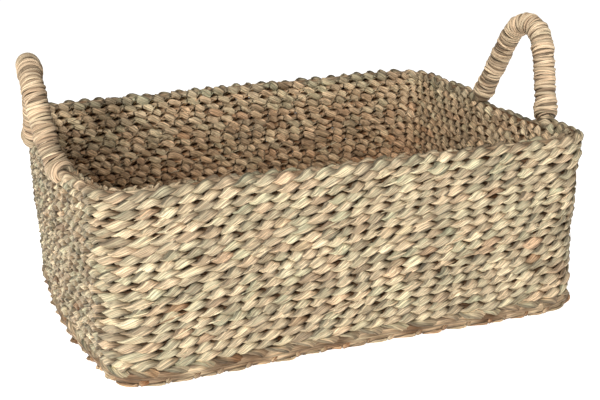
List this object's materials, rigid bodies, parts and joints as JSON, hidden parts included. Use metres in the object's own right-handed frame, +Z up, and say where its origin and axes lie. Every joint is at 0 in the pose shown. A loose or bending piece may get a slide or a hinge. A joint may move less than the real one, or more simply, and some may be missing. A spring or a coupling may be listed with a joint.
{
  "type": "magazine basket",
  "caption": "Rectangular open basket of sewn seagrass plait with a bound rope handle on each end, for magazines and papers lying flat.",
  "frame": {"origin": "on the floor, under the middle of the overall length and width", "axes": "+X along the basket towards the right handle, -Y towards its front, +Z up"},
  "size_m": [0.4364, 0.32, 0.2231],
  "materials": {
    "wall_plait": "dry seagrass plait, straw with grey-green and tan leaves, matt",
    "edge_plait": "seagrass plait standing on edge, browner along the floor, matt",
    "base_plait": "seagrass plait standing on edge, matt",
    "binding_cord": "thin twisted seagrass cord wound tightly, pale tan"
  },
  "bodies": {
    "root": {"base_centre": "base_plait", "base_course_01": "base_plait", "base_course_02": "base_plait", "base_course_03": "base_plait", "base_course_04": "base_plait", "base_course_05": "base_plait", "base_course_06": "base_plait", "base_course_07": "base_plait", "base_course_08": "base_plait", "base_course_09": "base_plait", "base_course_10": "base_plait", "base_course_11": "base_plait", "base_course_12": "base_plait", "base_course_13": "base_plait", "base_course_14": "base_plait", "base_course_15": "base_plait", "base_course_16": "base_plait", "base_course_17": "base_plait", "base_course_18": "base_plait", "base_course_19": "base_plait", "base_course_20": "base_plait", "base_course_21": "base_plait", "base_course_22": "base_plait", "base_course_23": "base_plait", "base_edge_course": "edge_plait", "wall_course_01": "wall_plait", "wall_course_02": "wall_plait", "wall_course_03": "wall_plait", "wall_course_04": "wall_plait", "wall_course_05": "wall_plait", "wall_course_06": "wall_plait", "wall_course_07": "wall_plait", "wall_course_08": "wall_plait", "wall_course_09": "wall_plait", "wall_course_10": "wall_plait", "wall_course_11": "wall_plait", "wall_course_12": "wall_plait", "wall_course_13": "wall_plait", "wall_course_14": "wall_plait", "wall_course_15": "wall_plait", "wall_course_16": "wall_plait", "wall_course_17": "wall_plait", "wall_course_18": "wall_plait", "wall_course_19": "wall_plait", "rim_and_handle_course": "wall_plait", "right_handle_binding": "binding_cord", "left_handle_binding": "binding_cord"}
  },
  "joints": []
}
